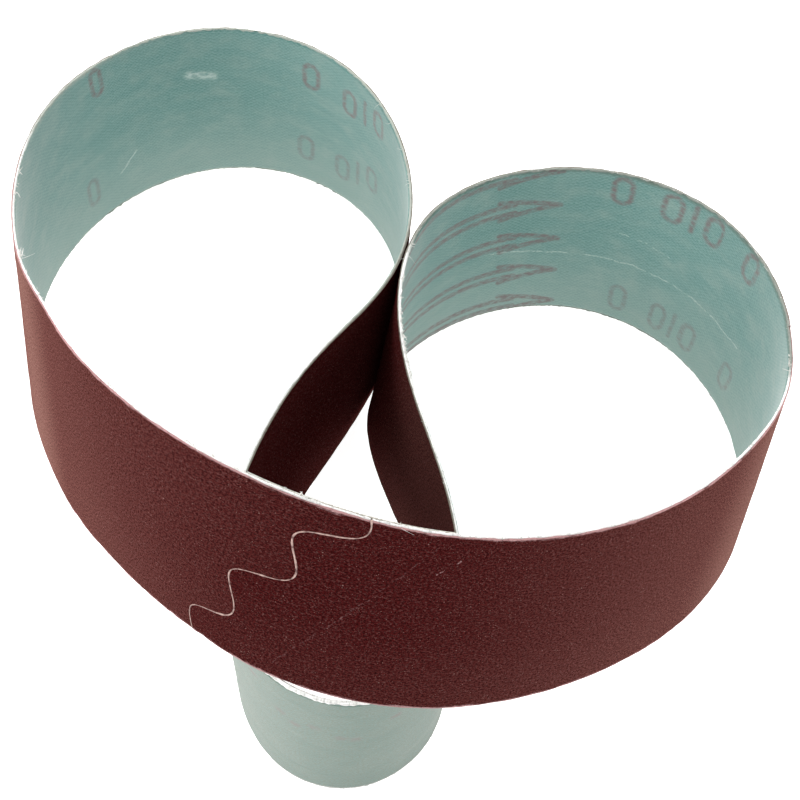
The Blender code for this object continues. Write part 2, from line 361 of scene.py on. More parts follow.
def use(tree, group, **inputs):
    """The outputs of a node group placed in a tree, with its inputs given as in add."""
    return add(tree, "ShaderNodeGroup", inputs, node_tree=group).outputs


def new_material(name, roughness=None):
    """A material with its Principled shader."""
    material = bpy.data.materials.new(name)
    material.use_nodes = True
    tree = material.node_tree
    shader = tree.nodes["Principled BSDF"]
    if roughness is not None:
        shader.inputs["Roughness"].default_value = roughness
    return material, tree, shader


def flat_place(tree):
    """The flat place on the belt, as a vector in metres."""
    return add(tree, "ShaderNodeUVMap", uv_map="flat_metres").outputs["UV"]


def raise_surface(tree, shader, height, strength, depth):
    """Bumps of that depth where the height goes from 0 to 1, at that strength."""
    inputs = {"Height": height, "Strength": strength, "Distance": depth}
    bump = add(tree, "ShaderNodeBump", inputs)
    tree.links.new(bump.outputs["Normal"], shader.inputs["Normal"])


def stroke_group():
    """A mask of one straight stroke on the flat belt: 1 within its half width, fading over the softness.

    The distance is that from the nearest point of the segment, whose share of the way from start to end is
    the dot product of the two arms over that of the segment with itself, held within 0 and 1.
    """
    vector, value = "NodeSocketVector", "NodeSocketFloat"
    inputs = {"Place": vector, "Start": vector, "End": vector, "Half": value, "Soft": value}
    tree, given, made = new_group("stroke", inputs, {"Mask": value, "Distance": value})

    def vectors(operation, first, second, result=0):
        """One Vector Math node's result: 0 is a vector and 1 a value."""
        return add(tree, "ShaderNodeVectorMath", {0: first, 1: second}, operation=operation).outputs[result]

    arm = vectors("SUBTRACT", given["Place"], given["Start"])
    span = vectors("SUBTRACT", given["End"], given["Start"])
    reach, whole = (vectors("DOT_PRODUCT", first, span, 1) for first in (arm, span))
    share = calc(tree, "DIVIDE", reach, whole)
    held = add(tree, "ShaderNodeClamp", {"Value": share}).outputs[0]
    reached = add(tree, "ShaderNodeVectorMath", {0: span, "Scale": held}, operation="SCALE").outputs[0]
    distance = vectors("DISTANCE", arm, reached, 1)
    outer = calc(tree, "ADD", given["Half"], given["Soft"])
    tree.links.new(ramp(tree, distance, outer, given["Half"]), made["Mask"])
    tree.links.new(distance, made["Distance"])
    return tree


# The twill's yarns, in steps of its pitch: how far they wander, how long their dashes are, and the share that
# ridges and dashes have in the height.
YARN_WANDER = 0.9
DASH_LENGTH = 3.0
RIDGE_SHARE = 0.28
DASH_SHARE = 0.22


def twill_group():
    """Yarns of a twill on the flat belt, as a height from 0 to 1, in steps of the pitch along and across.

    Ridges run along the belt, and each rises and falls along its length, half a step later than its
    neighbour, with a noise that makes the yarns uneven.
    """
    inputs = {"Place": "NodeSocketVector", "Pitch": "NodeSocketFloat"}
    tree, given, made = new_group("twill", inputs, {"Height": "NodeSocketFloat"})
    x, y, _ = add(tree, "ShaderNodeSeparateXYZ", {0: given["Place"]}).outputs
    uneven = noise(tree, given["Place"], 1.1 * MM, 2.6 * MM)
    across = calc(tree, "ADD", calc(tree, "DIVIDE", y, given["Pitch"]), times(tree, uneven, YARN_WANDER))
    length = calc(tree, "DIVIDE", x, times(tree, given["Pitch"], DASH_LENGTH))
    ridge = calc(tree, "SINE", times(tree, across, 2 * math.pi))
    shifted = calc(tree, "ADD", length, times(tree, calc(tree, "FLOOR", across), 0.5))
    dash = calc(tree, "SINE", times(tree, shifted, 2 * math.pi))
    both = calc(tree, "ADD", times(tree, ridge, RIDGE_SHARE), times(tree, dash, DASH_SHARE))
    tree.links.new(calc(tree, "ADD", both, 0.5), made["Height"])
    return tree


stroke = stroke_group()
twill = twill_group()

# The print left on the cloth: rows of plain outlined arrows, which tell which way the belt runs.
ARROW_TAIL = 560 * MM
ARROW_NECK = 636.5 * MM
ARROW_TIP = 652 * MM
ARROW_TUCK = 4 * MM
ARROW_HALF_SHAFT = 1.4 * MM
ARROW_HALF_HEAD = 3.1 * MM
ARROW_PITCH = 11.85 * MM
ARROW_FIRST = 2.8 * MM
INK_HALF = 0.5 * MM
INK_SOFT = 0.6 * MM
INK = (0.195, 0.128, 0.132)

# Places along the belt: the middle of the small loop, the middle of the stained rim of the right loop, and
# the place furthest round from the joint. Dust covers the cloth of the small loop, and away from it painted
# bounce light from the floor makes the cloth paler towards the lower edge.
SMALL_LOOP_PLACE = 465 * MM
STAIN_PLACE = 676 * MM
BACK_PLACE = 440 * MM
DUST_CHANGES = (60 * MM, 40 * MM)
PAINTED_BOUNCE_CHANGES = (40 * MM, 80 * MM)
PAINTED_BOUNCE_HEIGHT = 0.6 * BELT_WIDTH
YARN_PITCH = 0.52 * MM

# The cloth's tone: the shares of the twill, of long lines in it and of short dashes.
TWILL_TONE = 0.25
LINE_TONE = 0.2
DASH_TONE = 0.55
CLOTH_DEEP = (0.104, 0.245, 0.228)
CLOTH_PALE = (0.222, 0.366, 0.340)
# Faded yarn, also used as the colour of the painted bounce light towards the lower edge.
CLOTH_FADED_AND_LIT = (0.38, 0.44, 0.40)
CLOTH_DUSTY = (0.135, 0.168, 0.130)
CLOTH_BLEACHED = (0.62, 0.66, 0.60)
CLOTH_STAINED = (0.16, 0.175, 0.140)
CLOTH_CUT = (0.94, 0.94, 0.92)
SCRATCH = (0.66, 0.74, 0.70)

# Plain numerals in the print, a round 0 or a straight 1: centre along and up, and half width.
NUMERAL_HALF = 4.0 * MM
NUMERAL_INK = 0.55 * MM
NUMERAL_CORE = 0.2 * MM
NUMERALS_MM = (
    (667.0, 45.4, 2.2),
    (679.4, 45.0, 2.2),
    (684.9, 45.2, 0),
    (690.6, 45.4, 2.2),
    (704.0, 45.6, 2.2),
    (670.6, 8.4, 2.1),
    (683.6, 8.2, 2.1),
    (689.0, 8.5, 0),
    (694.6, 8.8, 2.1),
    (711.6, 11.0, 2.1),
    (254.4, 40.6, 2.1),
    (267.6, 39.4, 2.1),
    (273.8, 41.0, 0),
    (280.4, 43.0, 2.1),
    (253.0, 13.0, 2.1),
    (265.6, 12.6, 2.1),
    (271.6, 15.2, 0),
    (278.0, 18.2, 2.1),
    (194.0, 45.6, 1.7),
    (186.6, 11.6, 1.7),
)

# Changes of colour along the upper edge: the middle, the distances where one starts and is whole, how far
# down it starts and is whole, its strength and its colour.
CLOTH_RIMS = (
    (150 * MM, 75 * MM, 40 * MM, 1.6 * MM, -0.2 * MM, 0.55, CLOTH_BLEACHED),
    (STAIN_PLACE, 85 * MM, 60 * MM, 1.4 * MM, -0.2 * MM, 0.8, CLOTH_STAINED),
    (BACK_PLACE, 360 * MM, 390 * MM, 1.3 * MM, 0.9 * MM, 0.95, CLOTH_CUT),
)

# Smears of ink left where the print of the small loop has rubbed away.
SMEAR_HALF = 0.1 * MM
SMEAR_SOFT = 1.5 * MM
SMEARS_MM = (
    (454, 35.2),
    (457.5, 32.6),
    (468, 31.6),
    (471.2, 30.8),
    (446.4, 43.8),
    (462.3, 35),
    (480.4, 37.6),
)

# Scratches: each a half width, and a line of strokes between flat places, along and up. The shake sets how
# far and how finely they stray. A broader white smudge lies high on the back of the left loop.
SCRATCH_SOFT = 0.2 * MM
SHAKE_SCALE = 300.0
SHAKE_REACH = 1.6 * MM
SMUDGE_HALF = 0.2 * MM
SMUDGE_SOFT = 1.8 * MM
SMUDGE = ((220.5 * MM, 36 * MM), (227 * MM, 34.8 * MM))
SCRATCHES_MM = (
    (0.12, ((634, 23.4), (653, 21.2), (687, 21.4), (705, 21.7), (711, 22.6))),
    (0.15, ((202, 16.2), (196.5, 11))),
    (0.05, ((668, 31), (682, 29.5))),
)


def arrow_mask(tree, place):
    """Ink of the arrow rows: the belt is folded at each row's centre line, so that half an arrow is drawn."""
    x, y, _ = add(tree, "ShaderNodeSeparateXYZ", {0: place}).outputs
    centred = calc(tree, "SUBTRACT", y, ARROW_FIRST)
    folded = calc(tree, "ABSOLUTE", calc(tree, "WRAP", centred, ARROW_PITCH / 2, -ARROW_PITCH / 2))
    half = add(tree, "ShaderNodeCombineXYZ", {0: x, 1: folded}).outputs[0]
    shaft = ((ARROW_TAIL, ARROW_HALF_SHAFT), (ARROW_NECK + ARROW_TUCK, ARROW_HALF_SHAFT))
    head = ((ARROW_NECK, ARROW_HALF_HEAD), (ARROW_TIP, 0))
    masks = [stroke_mask(tree, half, *ends, INK_HALF, INK_SOFT) for ends in (shaft, head)]
    return calc(tree, "MAXIMUM", *masks)


def stroke_mask(tree, place, start, end, half, soft):
    """Mask of one stroke between two flat places."""
    ends = {"Start": (*start, 0), "End": (*end, 0)}
    return use(tree, stroke, Place=place, Half=half, Soft=soft, **ends)["Mask"]


def numeral_mask(tree, place):
    """Ink of the numerals: each lies at its half width from an upright segment, so that 0 gives a bar."""
    mask = 0.0
    for x, y, half_width in NUMERALS_MM:
        reach = NUMERAL_HALF - half_width * MM
        ends = {"Start": (x * MM, y * MM - reach, 0), "End": (x * MM, y * MM + reach, 0)}
        distance = use(tree, stroke, Place=place, **ends)["Distance"]
        ring = apart(tree, distance, half_width * MM)
        mask = calc(tree, "MAXIMUM", mask, ramp(tree, ring, NUMERAL_INK + INK_SOFT, NUMERAL_CORE))
    return mask


def scratch_mask(tree, place, lines):
    """Strokes along lines of flat places in millimetres, shaken sideways by a noise."""
    kind = "ShaderNodeVectorMath"
    shaken = add(tree, "ShaderNodeTexNoise", {"Vector": place, "Scale": SHAKE_SCALE}).outputs["Color"]
    centred = add(tree, kind, {0: shaken, 1: (0.5, 0.5, 0.5)}, operation="SUBTRACT").outputs[0]
    small = add(tree, kind, {0: centred, "Scale": SHAKE_REACH}, operation="SCALE").outputs[0]
    moved = add(tree, kind, {0: place, 1: small}, operation="ADD").outputs[0]
    mask = 0.0
    for half, line in lines:
        places = [(x * MM, y * MM) for x, y in line]
        for start, end in zip(places, places[1:]):
            one = stroke_mask(tree, moved, start, end, half * MM, SCRATCH_SOFT)
            mask = calc(tree, "MAXIMUM", mask, one)
    return mask


def cloth_material():
    """Two tones of dyed yarn, and over them pinholes, fading, dust, painted bounce light, changed rims, ink
    and scratches.
    """
    material, tree, shader = new_material("dyed twill", 0.92)
    place = flat_place(tree)
    height = use(tree, twill, Place=place, Pitch=YARN_PITCH)["Height"]
    dashes = noise(tree, place, 0.42 * MM, 0.6 * MM, 3.0, 0.75)
    lines = noise(tree, place, 0.5 * MM, 14 * MM, 2.0)
    both = calc(tree, "ADD", times(tree, height, TWILL_TONE), times(tree, lines, LINE_TONE))
    yarns = calc(tree, "ADD", both, times(tree, dashes, DASH_TONE))
    colour = blend(tree, ramp(tree, yarns, 0.35, 0.63), CLOTH_DEEP, CLOTH_PALE)
    pinholes = noise(tree, place, 0.32 * MM, 0.32 * MM, 1.0)
    colour = blend(tree, ramp(tree, pinholes, 0.5, 0.8, 0.0, 0.4), colour, CLOTH_DEEP)
    clouds = noise(tree, place, 6 * MM, 9 * MM, 5.0, 0.65)
    colour = blend(tree, ramp(tree, clouds, 0.4, 0.75, 0.0, 0.3), colour, CLOTH_FADED_AND_LIT)

    along, up, _ = add(tree, "ShaderNodeSeparateXYZ", {0: place}).outputs
    from_small_loop = apart(tree, along, SMALL_LOOP_PLACE)
    small_loop = ramp(tree, from_small_loop, *DUST_CHANGES)
    dusty = times(tree, small_loop, ramp(tree, dashes, 0.38, 0.62, 0.38, 0.86))
    colour = blend(tree, dusty, colour, CLOTH_DUSTY)
    # Painted bounce light from the floor: paler cloth towards the lower edge, away from the small loop.
    low = ramp(tree, up, PAINTED_BOUNCE_HEIGHT, 0.0, 0.0, 0.4)
    low = times(tree, low, ramp(tree, from_small_loop, *PAINTED_BOUNCE_CHANGES))
    colour = blend(tree, low, colour, CLOTH_FADED_AND_LIT)

    uneven = times(tree, calc(tree, "SUBTRACT", clouds, 0.5), 2 * MM)
    from_top = calc(tree, "ADD", calc(tree, "SUBTRACT", BELT_WIDTH, up), uneven)
    for centre, outside, inside, reach, full, strength, shade in CLOTH_RIMS:
        rim = ramp(tree, apart(tree, along, centre), outside, inside, 0.0, strength)
        colour = blend(tree, times(tree, rim, ramp(tree, from_top, reach, full)), colour, shade)

    worn = noise(tree, place, 1.0 * MM, 1.8 * MM, 3.0, 0.7)
    strength = ramp(tree, up, 0.1 * BELT_WIDTH, 0.8 * BELT_WIDTH, 0.55, 1.0)
    numerals = times(tree, numeral_mask(tree, place), strength)
    print_mask = calc(tree, "MAXIMUM", arrow_mask(tree, place), numerals)
    for x, y in SMEARS_MM:
        ends = ((x * MM, y * MM), ((x + 1) * MM, y * MM))
        smear = stroke_mask(tree, place, *ends, SMEAR_HALF, SMEAR_SOFT)
        print_mask = calc(tree, "MAXIMUM", print_mask, times(tree, smear, 0.7))
    ink = times(tree, print_mask, ramp(tree, worn, 0.34, 0.64, 0.25, 0.8))
    colour = blend(tree, ink, colour, INK)

    scuffs = scratch_mask(tree, place, SCRATCHES_MM)
    scuffs = times(tree, scuffs, ramp(tree, dashes, 0.35, 0.6, 0.1, 0.5))
    colour = blend(tree, scuffs, colour, SCRATCH)
    smudge = stroke_mask(tree, place, *SMUDGE, SMUDGE_HALF, SMUDGE_SOFT)
    smudge = times(tree, smudge, ramp(tree, worn, 0.35, 0.65, 0.1, 0.7))
    colour = blend(tree, smudge, colour, SCRATCH)

    tree.links.new(colour, shader.inputs["Base Color"])
    shader.inputs["Specular IOR Level"].default_value = 0.2
    shader.inputs["Sheen Weight"].default_value = 0.38
    shader.inputs["Sheen Roughness"].default_value = 0.5
    shader.inputs["Sheen Tint"].default_value = (1, 0.9, 0.88, 1)
    raise_surface(tree, shader, yarns, 0.5, 0.12 * MM)
    return material


# Both faces sag and rise together, and each has fine ripples of its own.
grid_x, grid_y = belt_grid()
sag = SAG * ripples(seed=11, shape=grid_x.shape, widths=(9, 6))
cloth = laminate(
    "cloth_backing",
    grid_x,
    np.clip(grid_y, EDGE_TUCK, BELT_WIDTH - EDGE_TUCK),
    np.full(grid_x.shape, BOND_LEVEL),
    CLOTH_FACE + sag + CLOTH_RIPPLE * ripples(seed=12, shape=grid_x.shape, widths=(1.2, 1.2)),
    np.clip(grid_y, EDGE_CHAMFER, BELT_WIDTH - EDGE_CHAMFER),
)
cloth.data.materials.append(cloth_material())
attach(cloth, "root")
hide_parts("abrasive_belt")

# Grain coat
# Fine aluminium oxide in maroon resin, coated on the cloth before the belt is slit, so that it chips a
# little along both cut edges. Dust lies in it. Painted sheen makes it paler round the tips of the two wide
# loops, and painted light makes it paler on the right leg and towards the lower edge.

GRAIN_DARK = (0.015, 0.0020, 0.0022)
GRAIN_MAROON = (0.078, 0.0095, 0.0095)
GRAIN_DUSTY = (0.130, 0.051, 0.048)
# Paler grain for painted light and painted sheen, chalkier grain for more painted sheen at the loop tips, and
# painted glints.
GRAIN_LIT = (0.325, 0.145, 0.125)
GRAIN_SHEEN = (0.50, 0.28, 0.23)
PAINTED_GLINT = (0.50, 0.30, 0.27)
GRAIN_RUBBED = (0.60, 0.36, 0.36)
GRAIN_SOOTY = (0.26, 0.245, 0.205)
GRAIN_LIMED = (0.86, 0.85, 0.83)
GRAIN_CHIPPED = (0.46, 0.26, 0.26)

# Painted light and sheen, as paler grain: the middle, the distances where that starts and is whole, and
# its strength. It is painted sheen round the tips of the two wide loops and painted light on the right leg.
# The tips are paler still, with more painted sheen.
LOOP_TIPS = (108 * MM, 760 * MM)
TIP_REACH = 35 * MM
PAINTED_LIGHT_SPANS = (
    (LOOP_TIPS[0], 140 * MM, 20 * MM, 1.0),
    (LOOP_TIPS[1], 120 * MM, 0.0, 1.1),
    (520 * MM, 60 * MM, 30 * MM, 0.6),
)

# The edges: how far down the grain is rubbed, and how unevenly, and where it has chipped off. Their colours
# change at these distances from BACK_PLACE, and from SMALL_LOOP_PLACE for the limed one.
RUB_REACH = 0.6 * MM
RUB_RAGGED = 2.4 * MM
CHIP_CHANGES = (0.34 * MM, 0.14 * MM)
SOOTY_RUB = (335 * MM, 300 * MM)
SOOTY_CHIP = (300 * MM, 270 * MM)
LIMED_CHIP = (55 * MM, 45 * MM)
CHIP_DEPTH = 0.13 * MM
GRAIN_RIPPLE = 0.015 * MM
BOND_OVERLAP = 0.05 * MM

# The tape's edge telegraphs through as a faint broken line, and handling left short pale nicks.
TAPE_EDGE_STRENGTH = 0.16
TAPE_EDGE_MM = ((0.08, ((894.7, 4.2), (874.1, 48.2))),)
NICKS_MM = (
    (0.03, ((868, 44), (872, 40))),
    (0.3, ((916.5, 19), (916.8, 19.4))),
    (0.3, ((913.5, 28.2), (913.8, 28.6))),
)


def grain_material():
    """Dark and maroon grain, then dust, painted light and sheen, painted glints, nicks, and rubbed and
    chipped edges.
    """
    material, tree, shader = new_material("maroon grain")
    place = flat_place(tree)
    speckle = noise(tree, place, 0.42 * MM, 0.5 * MM, 4.0, 0.85)
    colour = blend(tree, ramp(tree, speckle, 0.40, 0.60), GRAIN_DARK, GRAIN_MAROON)
    streaks = noise(tree, place, 0.9 * MM, 5 * MM, 4.0, 0.7)
    grey = noise(tree, place, 0.5 * MM, 0.7 * MM, 3.0, 0.8)
    dust = times(tree, ramp(tree, grey, 0.48, 0.66), ramp(tree, streaks, 0.3, 0.7, 0.25, 0.9))
    colour = blend(tree, dust, colour, GRAIN_DUSTY)

    along, up, _ = add(tree, "ShaderNodeSeparateXYZ", {0: place}).outputs
    # Painted light and sheen: paler grain round the tips of the wide loops and on the right leg.
    painted_light = 0.0
    for centre, outside, inside, strength in PAINTED_LIGHT_SPANS:
        lit_span = ramp(tree, apart(tree, along, centre), outside, inside, 0.0, strength)
        painted_light = calc(tree, "MAXIMUM", painted_light, lit_span)
    # Painted bounce light from the floor: paler grain towards the lower edge.
    painted_light = calc(tree, "ADD", painted_light, ramp(tree, up, 0.5 * BELT_WIDTH, 0.0, 0.0, 0.13))
    pale = times(tree, painted_light, ramp(tree, speckle, 0.40, 0.60, 0.05, 0.5))
    colour = blend(tree, pale, colour, GRAIN_LIT)
    # Painted sheen: chalkier grain round the tips of the wide loops, where they are seen at a grazing angle.
    tips = (ramp(tree, apart(tree, along, tip), TIP_REACH, 0.0) for tip in LOOP_TIPS)
    painted_sheen = times(tree, calc(tree, "MAXIMUM", *tips), ramp(tree, grey, 0.38, 0.60, 0.08, 0.4))
    colour = blend(tree, painted_sheen, colour, GRAIN_SHEEN)

    # Painted glints: bright points where the grain would catch the light.
    clusters = noise(tree, place, 2.2 * MM, 3 * MM, 2.0)
    fine = noise(tree, place, 0.32 * MM, 0.32 * MM, 1.0)
    points = calc(tree, "ADD", fine, times(tree, clusters, 0.25))
    colour = blend(tree, ramp(tree, points, 0.81, 0.94, 0.0, 0.7), colour, PAINTED_GLINT)
    nicks = scratch_mask(tree, place, NICKS_MM)
    tape_edge = times(tree, scratch_mask(tree, place, TAPE_EDGE_MM), TAPE_EDGE_STRENGTH)
    marks = calc(tree, "MAXIMUM", nicks, tape_edge)
    marks = times(tree, marks, ramp(tree, grey, 0.42, 0.58, 0.0, 0.7))
    colour = blend(tree, marks, colour, GRAIN_RUBBED)

    from_edge = calc(tree, "MINIMUM", up, calc(tree, "SUBTRACT", BELT_WIDTH, up))
    ragged = times(tree, calc(tree, "SUBTRACT", streaks, 0.5), RUB_RAGGED)
    rubbed = ramp(tree, calc(tree, "ADD", from_edge, ragged), RUB_REACH, 0.0)
    rubbed = times(tree, rubbed, ramp(tree, grey, 0.35, 0.6, 0.3, 0.95))
    from_back = apart(tree, along, BACK_PLACE)
    from_small_loop = apart(tree, along, SMALL_LOOP_PLACE)
    rim = blend(tree, ramp(tree, from_back, *SOOTY_RUB), GRAIN_RUBBED, GRAIN_SOOTY)
    colour = blend(tree, rubbed, colour, rim)
    crest = blend(tree, ramp(tree, from_back, *SOOTY_CHIP), GRAIN_CHIPPED, GRAIN_SOOTY)
    crest = blend(tree, ramp(tree, from_small_loop, *LIMED_CHIP), crest, GRAIN_LIMED)
    chipped = times(tree, ramp(tree, from_edge, *CHIP_CHANGES), ramp(tree, grey, 0.3, 0.55, 0.45, 0.95))
    colour = blend(tree, chipped, colour, crest)

    tree.links.new(colour, shader.inputs["Base Color"])
    tree.links.new(ramp(tree, speckle, 0.3, 0.7, 0.95, 0.8), shader.inputs["Roughness"])
    shader.inputs["Specular IOR Level"].default_value = 0.0
    raise_surface(tree, shader, speckle, 0.7, 0.1 * MM)
    return material


chips = CHIP_DEPTH * np.abs(ripples(seed=21, shape=(len(grid_x), 2), widths=(1.5, 0.1)))
coat_y = grid_y.copy()
coat_y[:, 0] += chips[:, 0]
coat_y[:, -1] -= chips[:, 1]
coat = laminate(
    "grain_coat",
    grid_x,
    coat_y,
    GRAIN_FACE + sag + GRAIN_RIPPLE * ripples(seed=22, shape=grid_x.shape, widths=(1.2, 1.2)),
    np.full(grid_x.shape, BOND_LEVEL + BOND_OVERLAP),
)
coat.data.materials.append(grain_material())
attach(coat, "root")

# Joint
# The belt's wavy ends butt, and a pale adhesive squeezes up between them. A woven film tape, pressed into
# the back, holds them: it is the CAD solid, with a finish of its own.

FILLER_STEPS = 320
FILLER_AROUND = 8
FILLER_UNEVEN = 0.25
FILLER_LEAST = 0.6
FILLER_MOST = 1.8
FILLER = (0.54, 0.36, 0.31)
TAPE_DEEP = (0.50, 0.47, 0.40)
TAPE_PALE = (0.70, 0.68, 0.62)


def filler_piece():
    """A closed bead along the joint, of uneven width, from inside the cloth to just proud of the grain.

    Each round is an ellipse square to the joint's wave, with eight points.
    """
    x, y = joint_rows(FILLER_STEPS)
    along = unit(np.stack([np.gradient(x), np.gradient(y)], axis=-1))
    side = np.stack([along[:, 1], -along[:, 0]], axis=-1)
    uneven = 1.0 + FILLER_UNEVEN * ripples(seed=31, shape=(FILLER_STEPS,), widths=(3,))
    half = JOINT_GAP / 2 * np.clip(uneven, FILLER_LEAST, FILLER_MOST)
    turn = 2 * math.pi * (np.arange(FILLER_AROUND) + 0.5) / FILLER_AROUND
    middle_level = (GRAIN_FACE + BOND_LEVEL) / 2
    depth = (BOND_LEVEL - GRAIN_FACE) / 2 + BOND_OVERLAP
    offset = half[:, None] * np.cos(turn)
    flat = np.stack(
        [
            x[:, None] + side[:, :1] * offset,
            y[:, None] + side[:, 1:] * offset,
            np.broadcast_to(middle_level + depth * np.sin(turn), offset.shape),
        ],
        axis=-1,
    )
    return piece_from("joint_line", bent(flat), wrapped_quads(FILLER_STEPS, FILLER_AROUND), flat[..., :2])


def filler_material():
    """Adhesive, pale in patches and dusty between them."""
    material, tree, shader = new_material("joint adhesive", 0.55)
    place = flat_place(tree)
    patches = noise(tree, place, 1.2 * MM, 1.2 * MM)
    colour = blend(tree, ramp(tree, patches, 0.3, 0.62), GRAIN_DUSTY, FILLER)
    tree.links.new(colour, shader.inputs["Base Color"])
    raise_surface(tree, shader, patches, 0.4, 0.1 * MM)
    return material


def tape_material():
    """Off-white woven film, with its weave on the solid's own x and z, because it stands along them."""
    material, tree, shader = new_material("tape film")
    solid = add(tree, "ShaderNodeTexCoord").outputs["Object"]
    x, _, z = add(tree, "ShaderNodeSeparateXYZ", {0: solid}).outputs
    place = add(tree, "ShaderNodeCombineXYZ", {0: x, 1: z}).outputs[0]
    weave = use(tree, twill, Place=place, Pitch=0.5 * MM)["Height"]
    smears = noise(tree, place, 3 * MM, 5 * MM, 4.0, 0.6)
    colour = blend(tree, ramp(tree, weave, 0.3, 0.7), TAPE_DEEP, TAPE_PALE)
    colour = blend(tree, ramp(tree, smears, 0.45, 0.7, 0.0, 0.45), colour, CLOTH_FADED_AND_LIT)
    tree.links.new(colour, shader.inputs["Base Color"])
    tree.links.new(ramp(tree, smears, 0.3, 0.7, 0.42, 0.6), shader.inputs["Roughness"])
    raise_surface(tree, shader, weave, 0.4, 0.08 * MM)
    return material


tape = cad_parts["joint_tape"]
tape.data.materials.clear()
tape.data.materials.append(tape_material())

filler = filler_piece()
filler.data.materials.append(filler_material())
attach(filler, "root")

# Frayed edges
# Slitting leaves both edges as cut yarn ends, nearly white, that stand unevenly between the dyed face and
# the resin. They show as a pale jagged line along each rim.

FRAY_STEP = 0.35 * MM
FRAY_WAVE = 1.4
LOWER_FRAY_TUCK = 0.1 * MM

# The six points of a round, from the cloth side to the grain side: the level, how much further out it is
# where the ends are broad, how high the point stands over the edge, and how far it wanders.
FRAY_LEVELS_MM = (0.30, 0.24, 0.12, -0.02, -0.18, -0.24)
FRAY_BROADENING_MM = (0.22, 0.21, 0.14, 0.06, 0, 0)
FRAY_RISES_MM = (-0.30, 0.0, 0.05, 0.04, 0.0, -0.42)
FRAY_WANDERS_MM = (0.20, 0.08, 0.09, 0.09, 0.06, 0.06)

# Place along, and 1 where the white ends cover all of the cloth's edge.
FRAY_WIDTHS_MM = (
    (0, 0.3),
    (60, 0.3),
    (90, 0),
    (440, 0),
    (450, 1),
    (490, 1),
    (500, 0),
    (555, 0),
    (565, 1),
    (604, 1),
    (610, 0),
    (740, 0),
    (760, 0.3),
    (914.4, 0.3),
)
FRAY = (0.94, 0.93, 0.91)
FRAY_STAINED = (0.30, 0.31, 0.27)
FRAY_BROWN = (0.22, 0.245, 0.205)
FRAY_OLIVE = (0.36, 0.40, 0.34)
HAZE_PLACE = 260 * MM
STAIN_CHANGES = (78 * MM, 68 * MM)
HAZE_CHANGES = (105 * MM, 90 * MM)


def fray_ring(seed, top):
    """Flat points of one edge's yarn ends, as rounds of six points, at the upper edge or the lower one.

    The rounds lie at even steps along the edge. Each point's height wanders by itself along the belt.
    """
    count = round(BELT_LENGTH / FRAY_STEP)
    start = joint_rows(ROW_COUNT)[0][-1 if top else 0]
    x = np.linspace(start + JOINT_GAP / 2, start + BELT_LENGTH - JOINT_GAP / 2, count)
    wide = np.interp(x / MM % (BELT_LENGTH / MM), *np.transpose(FRAY_WIDTHS_MM))[:, None]
    level = (np.array(FRAY_LEVELS_MM) + wide * np.array(FRAY_BROADENING_MM)) * MM
    rise = np.array(FRAY_RISES_MM) * MM - (0 if top else LOWER_FRAY_TUCK)
    places = range(len(FRAY_LEVELS_MM))
    jag = np.stack([ripples(seed + place, (count,), (FRAY_WAVE,)) for place in places], axis=1)
    y = rise + np.array(FRAY_WANDERS_MM) * MM * jag
    y = BELT_WIDTH + y if top else -y
    flat = np.stack(np.broadcast_arrays(x[:, None], y, level), axis=-1)
    return flat if top else flat[:, ::-1]


def fray_piece():
    """Both edges' yarn ends in one mesh, each a closed tube of its rounds."""
    rings = [fray_ring(seed=41, top=True), fray_ring(seed=51, top=False)]
    faces = [wrapped_quads(len(ring), ring.shape[1]) for ring in rings]
    faces[1] = faces[1] + rings[0].shape[0] * rings[0].shape[1]
    flat = np.concatenate([ring.reshape(-1, 3) for ring in rings])
    return piece_from("frayed_edges", bent(flat), np.concatenate(faces), flat[:, :2])


def fray_material():
    """White yarn ends, soiled in patches, brown along the stained rim and olive behind the left loop."""
    material, tree, shader = new_material("cut yarn ends", 0.9)
    place = flat_place(tree)
    patches = noise(tree, place, 2.0 * MM, 1.3 * MM, 4.0, 0.7)
    colour = blend(tree, ramp(tree, patches, 0.50, 0.70, 0.0, 0.6), FRAY, FRAY_STAINED)
    along, _, _ = add(tree, "ShaderNodeSeparateXYZ", {0: place}).outputs
    stained = ramp(tree, apart(tree, along, STAIN_PLACE), *STAIN_CHANGES, 0.0, 0.85)
    colour = blend(tree, stained, colour, FRAY_BROWN)
    hazed = ramp(tree, apart(tree, along, HAZE_PLACE), *HAZE_CHANGES, 0.0, 0.8)
    colour = blend(tree, hazed, colour, FRAY_OLIVE)
    tree.links.new(colour, shader.inputs["Base Color"])
    raise_surface(tree, shader, patches, 0.5, 0.15 * MM)
    return material


fray = fray_piece()
fray.data.materials.append(fray_material())
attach(fray, "root")

# Loose threads
# Short ends of cotton yarn stand off both edges, thickest where the belt was torn a little by handling.

THREAD_COUNT = 420
THREAD_STEPS = 6
THREAD_AROUND = 4
THREAD_LENGTH = 0.28 * MM
THREAD_LEVELS = (-0.15 * MM, 0.45 * MM)
THREAD_RADII = (0.045 * MM, 0.08 * MM)
THREAD_ROOT = 0.1 * MM
THREAD_DROOP = 0.35
THREAD_THINNING = 0.6
UPPER_SHARE = 0.7
TUFT_THICKNESS = 2.4
TUFT_LENGTHS = (0.5, 1.2)

# Mean and spread of how far threads lean along the belt and outwards, curl and rise, as shares of their
# length.
LEAN_ALONG = (0, 0.8)
LEAN_OUT = (0.1, 0.7)
CURL = (0, 0.9)
RISE = (0.7, 0.35)
RISE_LIMITS = (0.15, 1.2)
THREAD_COLOUR = (0.86, 0.84, 0.80)

